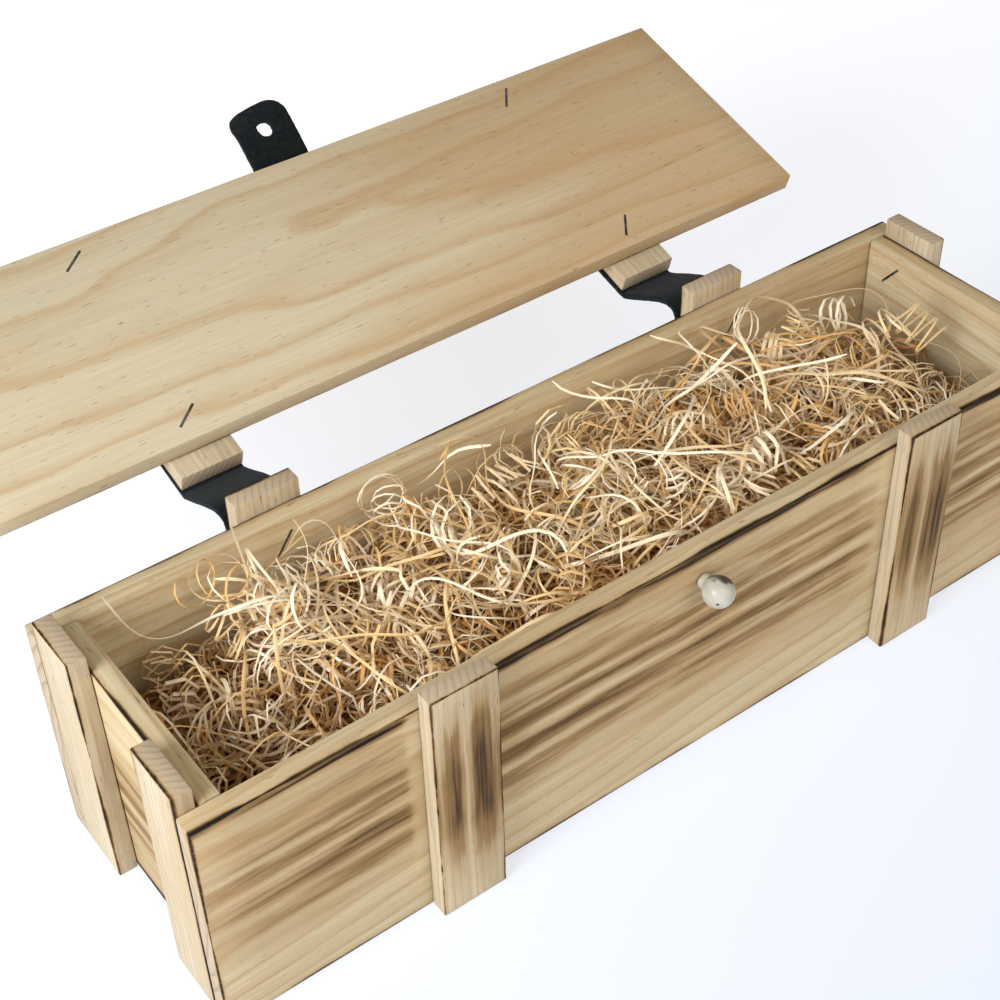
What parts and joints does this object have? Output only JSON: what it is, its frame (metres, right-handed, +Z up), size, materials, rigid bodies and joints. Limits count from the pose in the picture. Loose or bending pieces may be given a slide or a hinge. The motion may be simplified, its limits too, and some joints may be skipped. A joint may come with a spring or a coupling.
{
  "type": "wooden gift box",
  "caption": "Flamed pine gift box for a bottle, with stapled battens, a lid on felt hinge straps, a felt closing strap on a ball knob and a nest of wood wool.",
  "frame": {"origin": "middle of the box's underside", "axes": "+Z up, +X along the box towards its right end, +Y to the back, where the lid's hinge straps are"},
  "size_m": [0.394, 0.3023, 0.1453],
  "materials": {
    "panel_pine": "flamed, raw",
    "batten_pine": "flamed, raw",
    "lid_pine": "raw",
    "plain_pine": "raw",
    "knob_wood": "smooth",
    "wood_wool": "raw shavings",
    "felt": "matte",
    "staple_wire": "dull",
    "screw_steel": "satin"
  },
  "bodies": {
    "box": {"back_left_batten": "batten_pine", "back_panel": "panel_pine", "back_right_batten": "batten_pine", "bottom_panel": "plain_pine", "front_left_batten": "batten_pine", "front_panel": "panel_pine", "front_right_batten": "batten_pine", "hinge_strap_left": "felt", "hinge_strap_right": "felt", "knob": "knob_wood", "knob_screw": "screw_steel", "left_end_front_batten": "batten_pine", "left_end_panel": "panel_pine", "left_end_rear_batten": "batten_pine", "right_end_front_batten": "batten_pine", "right_end_panel": "panel_pine", "right_end_rear_batten": "batten_pine", "staple_back_left_lower": "staple_wire", "staple_back_left_upper": "staple_wire", "staple_back_right_lower": "staple_wire", "staple_back_right_upper": "staple_wire", "staple_front_left_lower": "staple_wire", "staple_front_left_upper": "staple_wire", "staple_front_right_lower": "staple_wire", "staple_front_right_upper": "staple_wire", "staple_left_end_front_lower": "staple_wire", "staple_left_end_front_upper": "staple_wire", "staple_left_end_rear_lower": "staple_wire", "staple_left_end_rear_upper": "staple_wire", "staple_right_end_front_lower": "staple_wire", "staple_right_end_front_upper": "staple_wire", "staple_right_end_rear_lower": "staple_wire", "staple_right_end_rear_upper": "staple_wire", "wood_wool": "wood_wool"},
    "lid": {"closing_strap_root": "felt", "lid_left_batten": "batten_pine", "lid_panel": "lid_pine", "lid_right_batten": "batten_pine", "staple_lid_left_front": "staple_wire", "staple_lid_left_rear": "staple_wire", "staple_lid_right_front": "staple_wire", "staple_lid_right_rear": "staple_wire"},
    "tab": {"closing_strap_tab": "felt"}
  },
  "joints": [
    {"name": "lid_hinge", "type": "hinge", "parent": "box", "child": "lid", "pos_m": [0, 0.07755, 0.0946], "axis": [1, 0, 0], "range_deg": [0, 163], "deforming": ["hinge_strap_left", "hinge_strap_right"]},
    {"name": "tab_fold", "type": "hinge", "parent": "lid", "child": "tab", "pos_m": [0, 0.20691, 0.12401], "axis": [1, 0, 0], "range_deg": [0, 65], "deforming": ["closing_strap_tab"]}
  ]
}
